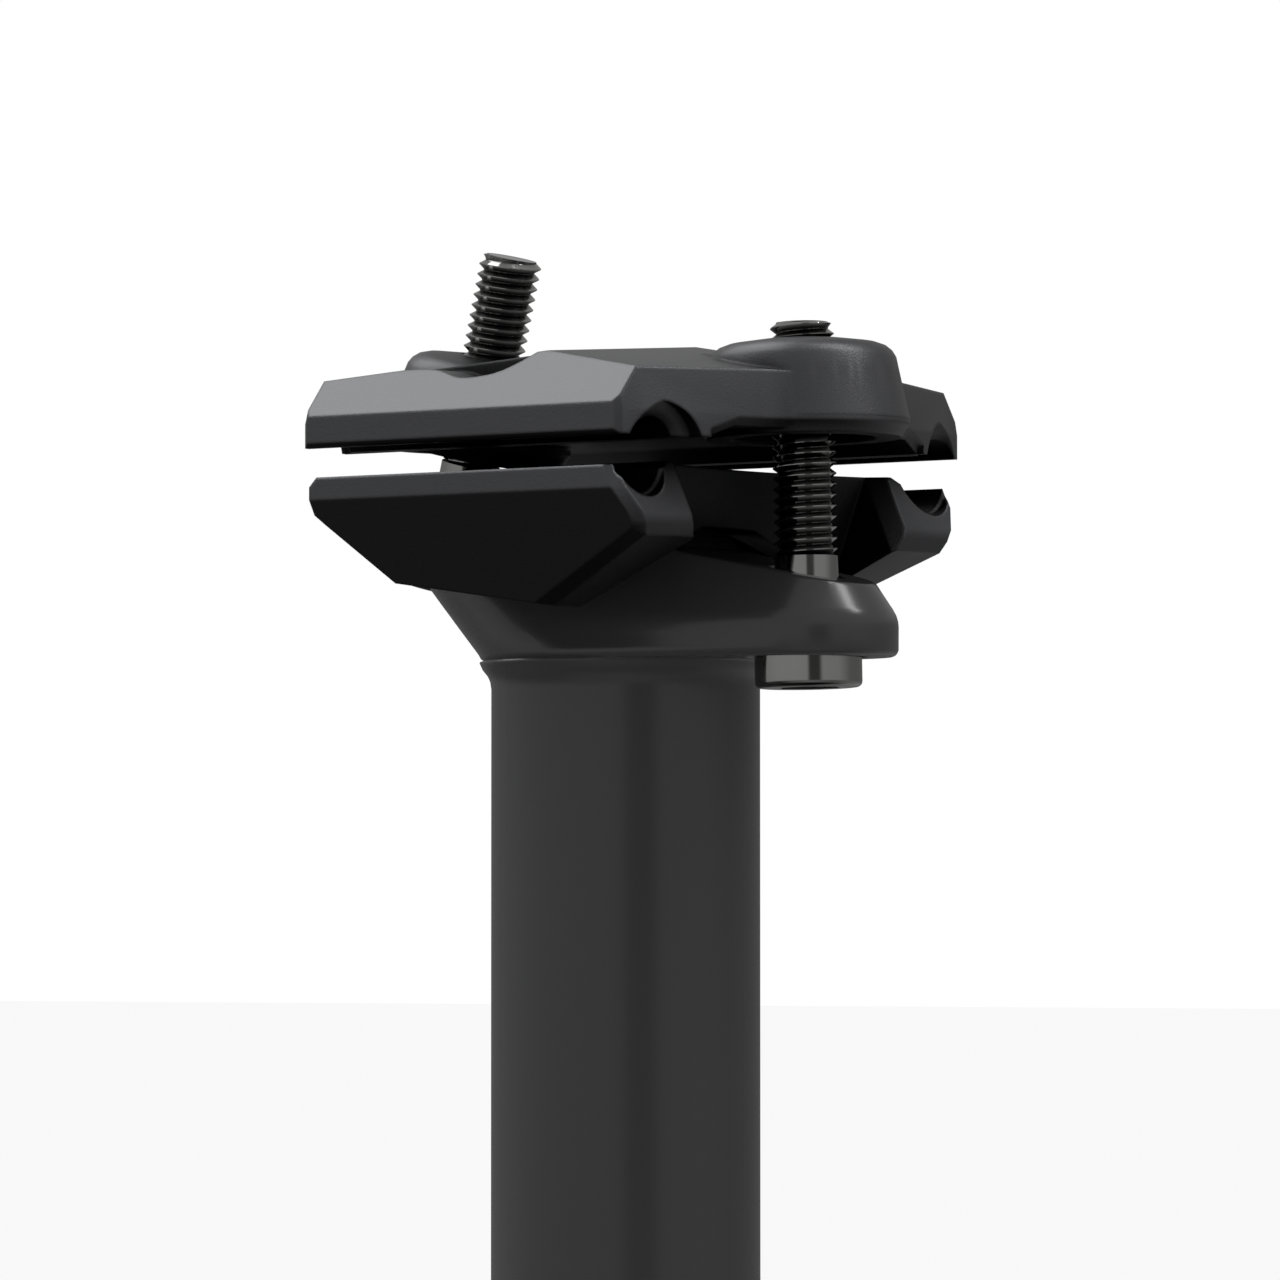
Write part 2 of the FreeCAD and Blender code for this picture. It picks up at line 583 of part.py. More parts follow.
def end_points(side, corner_x, centre_x, radius):
    """Corner, blend and boss points of one end, for y > 0: the end face, a hollow blend, the boss."""
    slant = side * CLAMP_END_SLANT
    length = math.sqrt(1 + slant ** 2)
    out = V(side / length, CLAMP_END_SLANT / length, 0)
    along = V(-slant / length, 1 / length, 0)
    corner = V(corner_x, CLAMP_HALF_WIDTH, 0)
    boss = V(centre_x, 0, 0)
    base = corner + out * BOSS_BLEND - boss
    half_b = base.dot(along)
    rest = base.dot(base) - (radius + BOSS_BLEND) ** 2
    travel = -half_b + math.sqrt(half_b ** 2 - rest)
    centre = corner + out * BOSS_BLEND + along * travel
    on_face = centre - out * BOSS_BLEND
    to_boss = (boss - centre).normalize()
    on_boss = centre + to_boss * BOSS_BLEND
    middle = (on_face + on_boss) * 0.5 - centre
    on_blend = centre + middle.normalize() * BOSS_BLEND
    return corner, on_face, on_blend, on_boss


def clamp_outline(height):
    """Plan of the whole clamp at this height: four corners, two bosses and their blends."""
    rings = []
    for side, corner, frame, drop, radius, level in (
            (1, CLAMP_CORNER_FRONT, FRONT_FRAME, FRONT_SCREW_DROP, FRONT_BOSS_RADIUS, height),
            (-1, CLAMP_CORNER_REAR, REAR_FRAME, REAR_SCREW_DROP, REAR_BOSS_RADIUS, BOSS_BAND)):
        lean = frame.Rotation.multVec(V(0, 0, 1))
        centre_x = frame.Base.x + lean.x / lean.z * (drop + level)
        radius = radius - BOSS_DRAFT * (level - BOSS_BAND)
        points = end_points(side, end_x(corner, height), centre_x, radius)
        nose = V(centre_x + side * radius, 0, 0)
        rings.append((points, nose))
    lift = V(0, 0, RAIL_Z + height)
    edges = []
    for way, (points, nose) in zip((1, -1), rings):
        plus = [p + lift for p in points]
        minus = [V(p.x, -p.y, p.z) for p in plus]
        first, last = (plus, minus) if way > 0 else (minus, plus)
        edges += [
            Part.LineSegment(first[0], first[1]).toShape(),
            Part.Arc(first[1], first[2], first[3]).toShape(),
            Part.Arc(first[3], nose + lift, last[3]).toShape(),
            Part.Arc(last[3], last[2], last[1]).toShape(),
            Part.LineSegment(last[1], last[0]).toShape(),
        ]
        nearest = rings[1][0][0] if way > 0 else rings[0][0][0]
        far_y = last[0].y
        edges.append(Part.LineSegment(last[0], V(nearest.x, far_y, lift.z)).toShape())
    return Part.Wire(edges)


def clamp_plan():
    """Upright sides up to the bevel band, then the bosses draw in."""
    low = Part.Face(clamp_outline(BOSS_BAND)).extrude(V(0, 0, -BOSS_BAND))
    return low.fuse(Part.makeLoft([clamp_outline(BOSS_BAND), clamp_outline(CLAMP_REACH)], True, True))


def boss(frame, drop, radius, top):
    """Round boss about a screw, with a draft and a rounded rim."""
    lean = frame.Rotation.multVec(V(0, 0, 1))
    low = (drop + BOSS_BOTTOM) / lean.z
    band = (drop + BOSS_BAND) / lean.z
    high = (drop + top) / lean.z
    outline = [(0, low), (radius - BOSS_BEVEL, low), (radius, band)]
    steps = [(length * math.sin(math.radians(turn)), length * math.cos(math.radians(turn)))
             for turn, length in BOSS_RIM]
    z = high - sum(rise for inset, rise in steps)
    edge = radius - BOSS_DRAFT * (z - band)
    outline.append((edge, z))
    for inset, rise in steps:
        edge -= inset
        z += rise
        outline.append((edge, z))
    outline.append((0, high))
    return in_frame(turned(outline), frame)


def spine():
    """Raised rib between the two bosses."""
    foot = RAIL_Z + CLAMP_BAND_HIGH
    top = RAIL_Z + SPINE_TOP
    wide = SPINE_HALF_WIDTH + 1.0
    narrow = SPINE_HALF_WIDTH - 1.0
    outline = [(-wide, foot), (wide, foot), (narrow, top), (-narrow, top)]
    return prism(outline, "X", REAR_SCREW_X / 2, FRONT_SCREW_X)


def scallop():
    """Shallow scoop across the sloped side of the +Y wing."""
    floor = RAIL_Z + SCALLOP_FLOOR
    points = [V(SCALLOP_REAR + x, SCALLOP_INNER, floor + rise) for x, rise in SCALLOP_STEPS]
    curve = Part.BSplineCurve()
    curve.interpolate(points)
    above = V(0, 0, SCALLOP_STEPS[-1][1])
    lid = Part.makePolygon([points[-1], points[-1] + above, points[0] + above, points[0]])
    return Part.Face(Part.Wire([curve.toShape()] + lid.Edges)).extrude(V(0, FAR, 0))


def screw_room(frame, drop):
    """Threaded hole with a round pocket below, in the screw's frame."""
    lean = frame.Rotation.multVec(V(0, 0, 1))
    pocket_top = (drop + BOSS_BOTTOM) / lean.z + BOSS_POCKET_DEPTH
    hole = Part.makeCylinder(SCREW_RADIUS + THREAD_CLEARANCE, FAR)
    pocket = Part.makeCylinder(BOSS_POCKET_RADIUS, pocket_top)
    return in_frame(hole.fuse(pocket), frame)


def upper_clamp():
    body = wings()
    front_boss = boss(FRONT_FRAME, FRONT_SCREW_DROP, FRONT_BOSS_RADIUS, FRONT_BOSS_TOP)
    rear_boss = boss(REAR_FRAME, REAR_SCREW_DROP, REAR_BOSS_RADIUS, REAR_BOSS_TOP)
    body = body.fuse([front_boss, rear_boss, spine()])
    run_out = CLAMP_END_SLANT * (CLAMP_HALF_WIDTH - RAIL_Y)
    front_x = CLAMP_CORNER_FRONT + run_out
    rear_x = CLAMP_CORNER_REAR - run_out
    groove = rail_groove(front_x, rear_x, MOUTH_STEP, MOUTH_BEVEL, MOUTH_BEVEL_DEPTH)
    body = body.cut([groove, mirrored(groove)])
    body = body.cut([screw_room(FRONT_FRAME, FRONT_SCREW_DROP), screw_room(REAR_FRAME, REAR_SCREW_DROP)])
    return body.removeSplitter()


def screw(frame, length):
    """Cap screw: round head with a hexagon socket, plain shank and a bevelled tip."""
    head = Part.makeCylinder(SCREW_HEAD_RADIUS, SCREW_HEAD_HEIGHT)
    rim = [e for e in head.Edges if e.BoundBox.ZMax < 0.01 and len(e.Vertexes) == 1]
    head = head.makeChamfer(SCREW_HEAD_EDGE, rim)
    shank = Part.makeCylinder(SCREW_RADIUS, SCREW_HEAD_HEIGHT + length - SCREW_TIP_BEVEL)
    tip = Part.makeCone(SCREW_RADIUS, SCREW_RADIUS - SCREW_TIP_BEVEL, SCREW_TIP_BEVEL,
                        V(0, 0, SCREW_HEAD_HEIGHT + length - SCREW_TIP_BEVEL))
    corner = SOCKET_WIDTH / math.sqrt(3)
    turns = [math.radians(60 * i) for i in range(6)]
    hexagon = [(corner * math.cos(turn), corner * math.sin(turn)) for turn in turns]
    socket = prism(hexagon, "Z", 0, SOCKET_DEPTH)
    body = head.fuse([shank, tip]).cut(socket)
    return in_frame(body.removeSplitter(), frame)


def washer(frame):
    """Domed washer that sits on the screw head."""
    flat = SCREW_HEAD_HEIGHT
    inner = SCREW_RADIUS + WASHER_HOLE_CLEARANCE
    arc = dome_points(DOME_RADIUS, inner, WASHER_RADIUS)
    return in_frame(turned([(inner, flat)] + arc + [(WASHER_RADIUS, flat)]), frame)


PARTS = {
    "post": post,
    "lower_cradle": lower_cradle,
    "upper_clamp": upper_clamp,
    "front_bolt": lambda: screw(FRONT_FRAME, FRONT_SCREW_LENGTH),
    "rear_bolt": lambda: screw(REAR_FRAME, REAR_SCREW_LENGTH),
    "front_washer": lambda: washer(FRONT_FRAME),
    "rear_washer": lambda: washer(REAR_FRAME),
}

os.makedirs("parts", exist_ok=True)
for name, build in PARTS.items():
    shape = build()
    shape.exportStep("parts/" + name + ".step")
    box = shape.BoundBox
    print("%-14s solids %d valid %s volume %.1f  x %.1f..%.1f  y %.1f..%.1f  z %.1f..%.1f" % (
        name, len(shape.Solids), shape.isValid(), shape.Volume,
        box.XMin, box.XMax, box.YMin, box.YMax, box.ZMin, box.ZMax))
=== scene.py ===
# %% [markdown]
# # A two-bolt bicycle seatpost
# The solids come from the CAD model and are brought in as a fixed frame. This file gives them
# their finishes, cuts real threads on the two screws, and sets up the studio and the camera.
# +X is the front of the bicycle and +Z goes up the tube. Blender works in metres, so a size that
# is written in millimetres, as in the CAD model, is multiplied by MM.

# %% Bring in the frame
import math

import bmesh
import bpy
from mathutils import Matrix, Vector


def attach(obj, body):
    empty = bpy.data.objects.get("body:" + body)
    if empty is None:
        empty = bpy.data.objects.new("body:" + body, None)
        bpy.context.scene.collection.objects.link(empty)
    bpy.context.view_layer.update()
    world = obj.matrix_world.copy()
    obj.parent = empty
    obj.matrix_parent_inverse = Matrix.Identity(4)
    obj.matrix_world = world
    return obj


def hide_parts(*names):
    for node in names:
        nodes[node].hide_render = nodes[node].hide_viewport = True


MM = 0.001
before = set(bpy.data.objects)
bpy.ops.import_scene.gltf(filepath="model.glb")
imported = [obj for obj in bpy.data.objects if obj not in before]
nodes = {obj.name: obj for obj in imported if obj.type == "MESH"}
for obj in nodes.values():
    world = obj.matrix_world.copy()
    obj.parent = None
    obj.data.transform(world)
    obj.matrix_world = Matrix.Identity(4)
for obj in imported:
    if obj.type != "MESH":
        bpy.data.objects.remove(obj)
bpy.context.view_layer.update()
print("nodes:", sorted(nodes))

# %% [markdown]
# ## Finishes
# Everything on the real post is black, so the pieces differ only in how they shine. The two
# clamps were blasted with fine grit before the black layer went on, which leaves a dull metallic
# sheen. The tube and its head are smoother, a deep satin black. The screws are glossy.
# Each finish is one Principled shader. A metallic shader has the colour of what it mirrors times
# its own, so a dark metal needs a low base colour.

# %% A plain black shader
def black_finish(name, colour, metal, roughness):
    material = bpy.data.materials.new(name)
    material.use_nodes = True
    shader = material.node_tree.nodes["Principled BSDF"]
    shader.inputs["Base Color"].default_value = (*colour, 1)
    shader.inputs["Roughness"].default_value = roughness
    shader.inputs["Metallic"].default_value = metal
    shader.inputs["IOR"].default_value = 1.55
    return material


# %% [markdown]
# ## Grain and soft edges in the shader
# Blasting leaves pits far smaller than any mesh could carry, so the grain is a Noise texture that
# drives a Bump. Noise in object coordinates needs no unwrapping and stays put when a piece moves.
# A Bevel node under the bump bends the light across each edge as if it were rounded. It reaches
# edges that the Bevel modifier has to skip for want of room, and adds no faces.

# %% Add the grain
NOISE_DETAIL = 3
EDGE_SAMPLES = 8


def add_grain(material, fineness, height, rounding=0.0, stretch=(1, 1, 1)):
    tree = material.node_tree
    place = tree.nodes.new("ShaderNodeTexCoord")
    mapping = tree.nodes.new("ShaderNodeMapping")
    mapping.inputs["Scale"].default_value = stretch
    noise = tree.nodes.new("ShaderNodeTexNoise")
    noise.inputs["Scale"].default_value = fineness
    noise.inputs["Detail"].default_value = NOISE_DETAIL
    bump = tree.nodes.new("ShaderNodeBump")
    bump.inputs["Strength"].default_value = 1
    bump.inputs["Distance"].default_value = height
    tree.links.new(place.outputs["Object"], mapping.inputs["Vector"])
    tree.links.new(mapping.outputs["Vector"], noise.inputs["Vector"])
    tree.links.new(noise.outputs["Fac"], bump.inputs["Height"])
    tree.links.new(bump.outputs["Normal"], tree.nodes["Principled BSDF"].inputs["Normal"])
    if rounding:
        edge = tree.nodes.new("ShaderNodeBevel")
        edge.samples = EDGE_SAMPLES
        edge.inputs["Radius"].default_value = rounding
        tree.links.new(edge.outputs["Normal"], bump.inputs["Normal"])


# %% [markdown]
# ## Painted shade in the hollows
# Between the clamps, and down in the roots of the threads, little light gets in. An Ambient
# Occlusion node measures how open each spot is within a short reach, and the base colour falls
# towards black where it is closed in: painted shade in the colour. The reach is about the depth
# of the hollow: about a centimetre between the clamps, and half a millimetre in a thread.

# %% Paint shade into the hollows
HOLLOW_SAMPLES = 8
HOLLOW_POWER = 3.0      # a higher power keeps open faces at full colour for longer
HOLLOW_SHADE = 0.05     # what is left of the colour in the deepest spot
COLOUR_FACTOR, COLOUR_A, COLOUR_B, COLOUR_RESULT = 0, 6, 7, 2   # a Mix node's sockets for colours


# Painted shade: the base colour darkens where the Ambient Occlusion node finds the spot closed in.
def paint_shade_in_hollows(material, reach):
    tree = material.node_tree
    base = tree.nodes["Principled BSDF"].inputs["Base Color"]
    colour = tuple(base.default_value)[:3]
    openness = tree.nodes.new("ShaderNodeAmbientOcclusion")
    openness.samples = HOLLOW_SAMPLES
    openness.inputs["Distance"].default_value = reach
    depth = tree.nodes.new("ShaderNodeMath")
    depth.operation = "POWER"
    depth.inputs[1].default_value = HOLLOW_POWER
    shade = tree.nodes.new("ShaderNodeMix")
    shade.data_type = "RGBA"
    shade.inputs[COLOUR_A].default_value = (*(HOLLOW_SHADE * part for part in colour), 1)
    shade.inputs[COLOUR_B].default_value = (*colour, 1)
    tree.links.new(openness.outputs["AO"], depth.inputs[0])
    tree.links.new(depth.outputs["Value"], shade.inputs[COLOUR_FACTOR])
    tree.links.new(shade.outputs[COLOUR_RESULT], base)


# %% The three finishes
satin_black = black_finish("satin black tube", (0.040, 0.040, 0.042), 0, 0.23)
add_grain(satin_black, 900, 2e-6, 0.4 * MM, (1, 1, 6))
blasted_black = black_finish("blasted black clamp", (0.108, 0.109, 0.114), 1, 0.42)
add_grain(blasted_black, 5000, 2.2e-5, 0.45 * MM)
# painted shade in the hollows between the clamps, about a centimetre deep
paint_shade_in_hollows(blasted_black, 12 * MM)
screw_black = black_finish("glossy black screw", (0.36, 0.36, 0.35), 1, 0.10)
add_grain(screw_black, 2500, 1e-7)
# painted shade in the roots of the threads
paint_shade_in_hollows(screw_black, 0.6 * MM)
print("finishes:", [finish.name for finish in (satin_black, blasted_black, screw_black)])

# %% Give each solid its finish
finishes = {"post": satin_black, "lower_cradle": blasted_black, "upper_clamp": blasted_black}
for name, node in nodes.items():
    node.data.materials.clear()
    node.data.materials.append(finishes.get(name, screw_black))
print("screw finish on:", sorted(set(nodes) - set(finishes)))

# %% [markdown]
# ## Softened edges
# The CAD solids arrive with every edge dead sharp, and no machined or forged edge is. A sharp
# edge also catches no light, so it looks drawn. Each large piece is copied, its points are
# joined up, and a narrow Bevel is put on the edges that turn by more than a set angle.
# The copy then stands for the solid in the picture.

# %% Copy a piece and round its edges
SHARP_TURN = math.radians(26)
FLAT_TURN = math.radians(0.5)


def soften(name, body, width):
    joined = bmesh.new()
    joined.from_mesh(nodes[name].data)
    bmesh.ops.remove_doubles(joined, verts=joined.verts, dist=MM / 1000)
    bmesh.ops.dissolve_limit(joined, angle_limit=FLAT_TURN, verts=joined.verts, edges=joined.edges)
    mesh = bpy.data.meshes.new(name + "_soft")
    joined.to_mesh(mesh)
    joined.free()
    if "custom_normal" in mesh.attributes:
        mesh.attributes.remove(mesh.attributes["custom_normal"])
    mesh.materials.clear()
    mesh.materials.append(finishes[name])
    for polygon in mesh.polygons:
        polygon.use_smooth = True
    mesh.set_sharp_from_angle(angle=SHARP_TURN)
    piece = bpy.data.objects.new(name + "_soft", mesh)
    bpy.context.scene.collection.objects.link(piece)
    bevel = piece.modifiers.new("edge", "BEVEL")
    bevel.width = width
    bevel.segments = 2
    bevel.limit_method = "ANGLE"
    bevel.angle_limit = SHARP_TURN
    bevel.use_clamp_overlap = True
    bevel.harden_normals = False
    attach(piece, body)
    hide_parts(name)
    print(piece.name, "has", len(mesh.polygons), "faces before the bevel")


soften("post", "post", 0.3 * MM)
soften("lower_cradle", "clamp", 0.4 * MM)
soften("upper_clamp", "clamp", 0.3 * MM)

# %% [markdown]
# ## Rings of points
# A screw is round almost everywhere, so its mesh is a stack of rings with a skin between them.
# The same number of points in every ring lets the skin be plain rows of four-sided faces, and a
# ring can follow the hexagon of the socket as easily as a circle.

# %% Rings and the skin between them
AROUND = 48


def ring(radius, z, corners=0):
    """A circle of this radius, or a shape with this many corners round that circle."""
    points = []
    for i in range(AROUND):
        angle = 2 * math.pi * i / AROUND
        r = radius
        if corners:
            half = math.pi / corners
            r = radius / math.cos((angle % (2 * half)) - half)
        points.append((r * math.cos(angle), r * math.sin(angle), z))
    return points


def skin(rings):
    points = [point for loop in rings for point in loop]
    faces = []
    for j in range(len(rings) - 1):
        low, high = j * AROUND, (j + 1) * AROUND
        for i in range(AROUND):
            k = (i + 1) % AROUND
            faces.append((low + i, low + k, high + k, high + i))
    faces.append(tuple(reversed(range(AROUND))))
    faces.append(tuple(range((len(rings) - 1) * AROUND, len(rings) * AROUND)))
    return points, faces


print("points in a ring:", AROUND)

# %% [markdown]
# ## The thread
# A thread is one groove that winds round the shank. It could be a Screw modifier on a small
# profile, but here the mesh is laid out directly: every ring of points climbs by one pitch in a
# turn, so the edges of the mesh follow the crest and the root and both stay crisp.

# %% The thread's rings
PITCH = 1.0
CREST = 2.96
ROOT = 2.42
RUN_OUT = 3             # how fast the thread rises to full height at its two ends
PROFILE = [(0.0, ROOT), (0.05, ROOT), (0.46, CREST), (0.54, CREST), (0.95, ROOT)]


def thread_rings(start, end):
    """Rings that climb one pitch a turn, with the last and first ones flattened."""
    rings = []
    turns = int((end - start) / PITCH)
    for turn in range(-1, turns + 1):
        for part, radius in PROFILE:
            loop = []
            for i in range(AROUND):
                share = i / AROUND
                z = start + (turn + part + share) * PITCH
                z = min(max(z, start), end)
                edge = min(z - start, end - z)
                r = min(radius, ROOT + max(0.0, edge) * RUN_OUT)
                angle = 2 * math.pi * share
                loop.append((r * math.cos(angle), r * math.sin(angle), z))
            rings.append(loop)
    return rings


# %% The thread's surface
def thread_skin(start, end):
    """The helical surface: each ring's last point meets the next turn's first point."""
    rings = thread_rings(start, end)
    a_turn_up = len(PROFILE)
    points = [point for loop in rings for point in loop]
    faces = []
    for j in range(len(rings) - 1):
        low, high = j * AROUND, (j + 1) * AROUND
        for i in range(AROUND):
            if i + 1 < AROUND:
                faces.append((low + i, low + i + 1, high + i + 1, high + i))
            elif j + a_turn_up + 1 < len(rings):
                far_low, far_high = (j + a_turn_up) * AROUND, (j + a_turn_up + 1) * AROUND
                faces.append((low + i, far_low, far_high, high + i))
    return points, faces


print("thread: pitch", PITCH, "depth", round(CREST - ROOT, 2))

# %% [markdown]
# ## A whole screw
# The head is a plain cylinder with a rounded lower rim and a hexagon socket, and the shank is
# smooth up to where the thread begins. The solid core and the thread's surface share one mesh:
# the core fills the thread from inside, so the two need no stitching.

# %% The core's outline, from the socket up to the tip
HEAD_RADIUS = 5.0
HEAD_HEIGHT = 6.0
HEAD_ROUNDING = 0.55
ROUNDING_RINGS = 6
HEAD_CHAMFER = 0.25
SOCKET_ACROSS = 5.0
SOCKET_DEPTH = 3.2
SOCKET_CORNERS = 6
SHANK_RADIUS = 2.97
PLAIN_SHANK = 12.2      # where the thread begins, from the bottom of the head
SHANK_TAPER = 0.35
TIP_CHAMFER = 0.3
TIP_EDGE = 0.02


def core_rings(end):
    flat = SOCKET_ACROSS / 2
    rings = [
        ring(flat, SOCKET_DEPTH, SOCKET_CORNERS),
        ring(flat, HEAD_CHAMFER, SOCKET_CORNERS),
        ring(flat + HEAD_CHAMFER, 0.0, SOCKET_CORNERS),
    ]
    for i in range(ROUNDING_RINGS):
        turn = math.pi / 2 * i / (ROUNDING_RINGS - 1)
        radius = HEAD_RADIUS - HEAD_ROUNDING + HEAD_ROUNDING * math.sin(turn)
        rings.append(ring(radius, HEAD_ROUNDING * (1 - math.cos(turn))))
    rings.append(ring(HEAD_RADIUS, HEAD_HEIGHT - HEAD_CHAMFER))
    rings.append(ring(HEAD_RADIUS - HEAD_CHAMFER, HEAD_HEIGHT))
    rings.append(ring(SHANK_RADIUS, HEAD_HEIGHT))
    rings.append(ring(SHANK_RADIUS, PLAIN_SHANK))
    rings.append(ring(ROOT, PLAIN_SHANK + SHANK_TAPER))
    rings.append(ring(ROOT, end - TIP_EDGE))
    rings.append(ring(ROOT - TIP_CHAMFER, end))
    return rings


# %% Core and thread in one mesh
SCREW_SHARP_TURN = math.radians(28)
THREAD_START = 0.1      # above the end of the plain shank
THREAD_STOP = 0.05      # below the tip


def screw(name, length, place):
    mesh_points, mesh_faces = [], []

    def add(points, faces):
        base = len(mesh_points)
        mesh_points.extend(points)
        mesh_faces.extend(tuple(base + i for i in face) for face in faces)

    end = HEAD_HEIGHT + length
    add(*skin(core_rings(end)))
    add(*thread_skin(PLAIN_SHANK + THREAD_START, end - THREAD_STOP))
    mesh = bpy.data.meshes.new(name)
    mesh.from_pydata([(x * MM, y * MM, z * MM) for x, y, z in mesh_points], [], mesh_faces)
    mesh.transform(place)
    mesh.update()
    for polygon in mesh.polygons:
        polygon.use_smooth = True
    mesh.set_sharp_from_angle(angle=SCREW_SHARP_TURN)
    mesh.materials.append(screw_black)
    piece = bpy.data.objects.new(name, mesh)
    bpy.context.scene.collection.objects.link(piece)
    print(name, "has", len(mesh.polygons), "faces")
    return piece


# %% [markdown]
# ## Where the screws stand
# The front screw leans back a little and the rear one leans forward. Each is placed by the
# centre of the underside of its head and its lean from the vertical, as in the CAD model. The
# threaded copies then stand for the plain screws of the frame and ride on the same bodies.

# %% Place both screws
RAIL_Z = 350.0
FRONT_LENGTH, FRONT_X, FRONT_DROP, FRONT_LEAN = 28.0, 21.6, 20.7, -1.3
REAR_LENGTH, REAR_X, REAR_DROP, REAR_LEAN = 26.5, -21.6, 10.45, 13.8


def stand(x, drop, lean):
    """Move to a point this far below the rails, and lean by so many degrees to the front."""
    shift = Matrix.Translation(Vector((x, 0, RAIL_Z - drop)) * MM)
    return shift @ Matrix.Rotation(math.radians(lean), 4, "Y")


front = screw("front_screw", FRONT_LENGTH, stand(FRONT_X, FRONT_DROP, FRONT_LEAN))
rear = screw("rear_screw", REAR_LENGTH, stand(REAR_X, REAR_DROP, REAR_LEAN))
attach(front, "front_bolt")
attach(rear, "rear_bolt")
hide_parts("front_bolt")
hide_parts("rear_bolt")

# %% [markdown]
# ## The floor
# The photograph has a plain white ground. The floor is a wide pale plane at the foot of the
# tube. Most of what the camera sees of it is a steady glow that reads as white, and the rest is
# matt paint, which keeps the shadow of the post. Shiny pieces don't mirror it, because the room
# below has its own, darker levels for them.

# %% The floor
FLOOR_SIZE = 60
FLOOR_DROP = 0.5 * MM
FLOOR_GREY = 0.86
GLOW = 1.05
GLOW_SHARE = 0.85
bpy.ops.mesh.primitive_plane_add(size=FLOOR_SIZE, location=(0, 0, -FLOOR_DROP))
floor = bpy.context.object
floor.name = "floor"
floor.visible_glossy = False
pale = bpy.data.materials.new("pale floor")
pale.use_nodes = True
tree = pale.node_tree
matt = tree.nodes["Principled BSDF"]
matt.inputs["Base Color"].default_value = (FLOOR_GREY, FLOOR_GREY, FLOOR_GREY, 1)
matt.inputs["Roughness"].default_value = 0.9
glow = tree.nodes.new("ShaderNodeEmission")
glow.inputs["Strength"].default_value = GLOW
seen = tree.nodes.new("ShaderNodeLightPath")
share = tree.nodes.new("ShaderNodeMath")
share.operation = "MULTIPLY"
share.inputs[1].default_value = GLOW_SHARE
both = tree.nodes.new("ShaderNodeMixShader")
tree.links.new(seen.outputs["Is Camera Ray"], share.inputs[0])
tree.links.new(share.outputs["Value"], both.inputs[0])
tree.links.new(matt.outputs["BSDF"], both.inputs[1])
tree.links.new(glow.outputs["Emission"], both.inputs[2])
tree.links.new(both.outputs["Shader"], tree.nodes["Material Output"].inputs["Surface"])
floor.data.materials.append(pale)
print("floor:", FLOOR_SIZE, "m wide")

# %% [markdown]
# ## The room
# A black piece shows mostly what it mirrors, so the room round the post matters more than the
# lamps. It could be built from white boards and black flags, but a World whose strength depends
# on direction does the same with no meshes. It has three bands, the ground, the walls and the
# ceiling, and each band has its own levels round the compass. A narrow dark gap in the walls
# makes the stripe that runs down the tube and over the screw's head, and the dark ground keeps
# the undersides black. The camera itself sees plain white.

# %% The World and its direction
world = bpy.data.worlds.new("white room")
bpy.context.scene.world = world
world.use_nodes = True
tree = world.node_tree
background = tree.nodes["Background"]
direction = tree.nodes.new("ShaderNodeTexCoord")
split = tree.nodes.new("ShaderNodeSeparateXYZ")
tree.links.new(direction.outputs["Generated"], split.inputs["Vector"])
height = split.outputs["Z"]
print("world:", world.name)


# %% Small helpers for sums in nodes
def span(source, low, high, to_low, to_high, kind="SMOOTHSTEP"):
    """Map one number smoothly onto another range."""
    node = tree.nodes.new("ShaderNodeMapRange")
    node.interpolation_type = kind
    node.inputs["From Min"].default_value = low
    node.inputs["From Max"].default_value = high
    node.inputs["To Min"].default_value = to_low
    node.inputs["To Max"].default_value = to_high
    tree.links.new(source, node.inputs["Value"])
    return node.outputs["Result"]


def product(first, second):
    node = tree.nodes.new("ShaderNodeMath")
    node.operation = "MULTIPLY"
    tree.links.new(first, node.inputs[0])
    tree.links.new(second, node.inputs[1])
    return node.outputs["Value"]


def mixed(share, first, second):
    """The first number where the share is 0, and the second where it is 1."""
    node = tree.nodes.new("ShaderNodeMix")
    node.data_type = "FLOAT"
    tree.links.new(share, node.inputs["Factor"])
    tree.links.new(first, node.inputs["A"])
    tree.links.new(second, node.inputs["B"])
    return node.outputs["Result"]


def along(axis):
    """How far the direction points along this axis."""
    node = tree.nodes.new("ShaderNodeVectorMath")
    node.operation = "DOT_PRODUCT"
    node.inputs[1].default_value = axis
    tree.links.new(direction.outputs["Generated"], node.inputs[0])
    return node.outputs["Value"]


# %% The compass: degrees round the room from its open side
OPEN_SIDE = (0.618, -0.786, 0)
RIGHT_HAND = (0.786, 0.618, 0)
turn = tree.nodes.new("ShaderNodeMath")
turn.operation = "ARCTAN2"
tree.links.new(along(RIGHT_HAND), turn.inputs[0])
tree.links.new(along(OPEN_SIDE), turn.inputs[1])
around = span(turn.outputs["Value"], -math.pi, math.pi, 0, 1, "LINEAR")
print("the room opens towards", OPEN_SIDE)


# %% The levels of the three bands
def levels(table):
    """Brightness round the room, from pairs of degrees and level."""
    ramp = tree.nodes.new("ShaderNodeValToRGB")
    stops = ramp.color_ramp.elements
    while len(stops) < len(table):
        stops.new(1.0)
    for stop, (degrees, level) in zip(stops, table):
        stop.position = degrees / 360 + 0.5
        stop.color = (level, level, level, 1)
    tree.links.new(around, ramp.inputs["Fac"])
    return ramp.outputs["Color"]


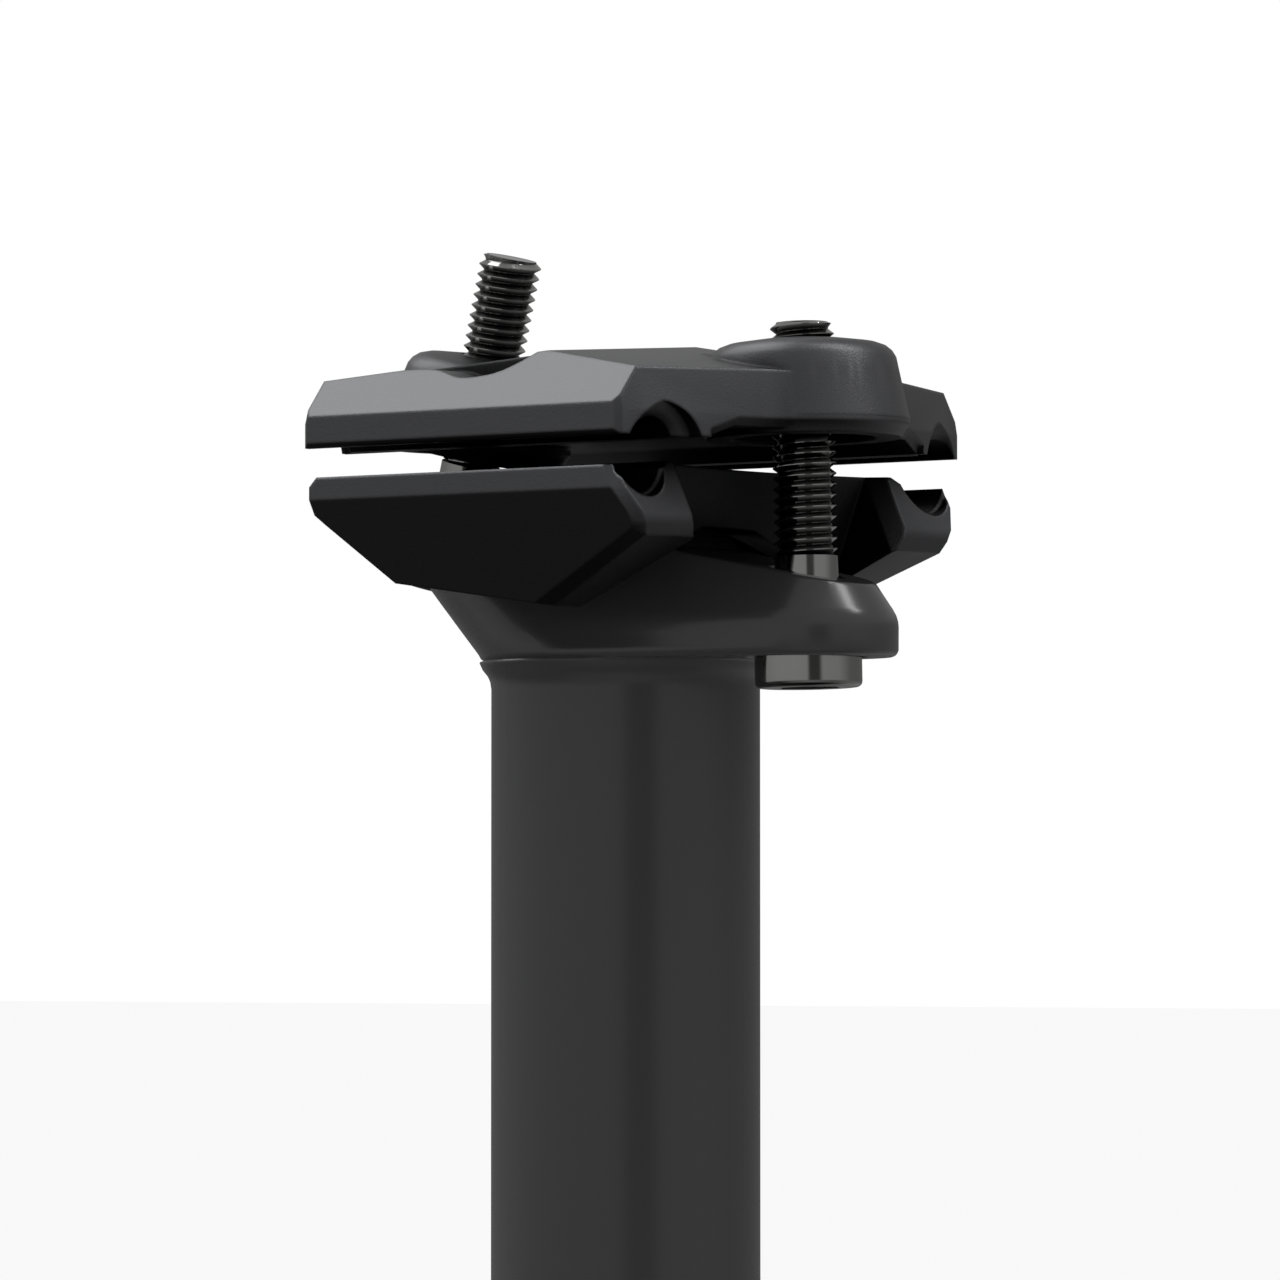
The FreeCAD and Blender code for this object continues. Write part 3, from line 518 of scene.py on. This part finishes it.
WALL_LEVELS = (
    (-180, 0.12), (-140, 0.20), (-105, 0.36), (-70, 0.42), (-30, 0.42), (-4, 0.40), (2, 0.06),
    (22, 0.06), (30, 0.38), (68, 0.36), (100, 0.19), (124, 0.17), (150, 0.15), (180, 0.13),
)
GROUND_LEVELS = (
    (-180, 0.07), (-140, 0.07), (-72, 0.03), (-40, 0.16),
    (0, 0.22), (60, 0.14), (166, 0.30), (176, 0.07),
)
CEILING_LEVELS = (
    (-180, 0.36), (-105, 0.30), (-60, 0.40), (0, 0.42),
    (68, 0.55), (105, 0.42), (140, 0.36), (180, 0.36),
)
walls = levels(WALL_LEVELS)
ground = levels(GROUND_LEVELS)
ceiling = levels(CEILING_LEVELS)
print("stops in the bands:", len(WALL_LEVELS), len(GROUND_LEVELS), len(CEILING_LEVELS))

# %% Join the bands from the floor up
ground = product(ground, span(height, -1.0, -0.6, 0.0, 1.0))
room = mixed(span(height, -0.38, -0.06, 0.0, 1.0), ground, walls)
room = mixed(span(height, 0.06, 0.26, 0.0, 1.0), room, ceiling)
seen = tree.nodes.new("ShaderNodeLightPath")
choose = tree.nodes.new("ShaderNodeMix")
choose.data_type = "FLOAT"
choose.inputs["B"].default_value = 1
tree.links.new(seen.outputs["Is Camera Ray"], choose.inputs["Factor"])
tree.links.new(room, choose.inputs["A"])
tree.links.new(choose.outputs["Result"], background.inputs["Strength"])
background.inputs["Color"].default_value = (1, 1, 1, 1)
print("room:", len(tree.nodes), "nodes")

# %% [markdown]
# ## Lamps
# Two soft lamps add what the room can't: a broad one above the rear, for the pale slopes of the
# upper clamp, and a narrow strip above the front, for the sharp gleam along the edge of the front
# ear. A larger lamp gives a softer gleam, so the strip is only as wide as that gleam is.

# %% The lamps
HEAD = (0, 0, 0.35)


def softbox(name, place, size, power):
    """A flat lamp that faces the head of the post."""
    lamp = bpy.data.lights.new(name, "AREA")
    lamp.shape = "RECTANGLE"
    lamp.size, lamp.size_y = size
    lamp.energy = power
    box = bpy.data.objects.new(name, lamp)
    box.location = place
    box.rotation_euler = (Vector(HEAD) - Vector(place)).to_track_quat("-Z", "Y").to_euler()
    bpy.context.scene.collection.objects.link(box)
    print(name, "power", power)


softbox("overhead softbox", (-0.75, -0.25, 1.35), (1.2, 1.2), 12.5)
softbox("strip above the ear", (0.55, 0.28, 1.35), (0.14, 0.9), 4)

# %% [markdown]
# ## Camera
# The photograph was taken with a long lens from a little below the head: about nine degrees of
# view from 0.77 m away. The same frame comes from a camera at that place, tipped up two degrees.
# The lens is worked out from how many pixels of the picture one radian covers near its middle.

# %% The camera
AZIMUTH = math.radians(38.2)
DISTANCE = 0.770
EYE = 0.3059
FOCAL_PIXELS = 8166.0
FRAME_PIXELS = 1280.0
SHIFT_PIXELS = 14.36
TILT = math.radians(2.1071)
lens = bpy.data.cameras.new("camera")
lens.sensor_width = 36
lens.lens = FOCAL_PIXELS / FRAME_PIXELS * lens.sensor_width
lens.shift_x = SHIFT_PIXELS / FRAME_PIXELS
lens.clip_start = 0.05
lens.clip_end = 200
camera = bpy.data.objects.new("camera", lens)
camera.location = (DISTANCE * math.sin(AZIMUTH), -DISTANCE * math.cos(AZIMUTH), EYE)
camera.rotation_euler = (math.pi / 2 + TILT, 0, AZIMUTH)
bpy.context.scene.collection.objects.link(camera)
bpy.context.scene.camera = camera
bpy.context.scene.view_settings.view_transform = "Standard"
print("lens:", round(lens.lens, 1), "mm")
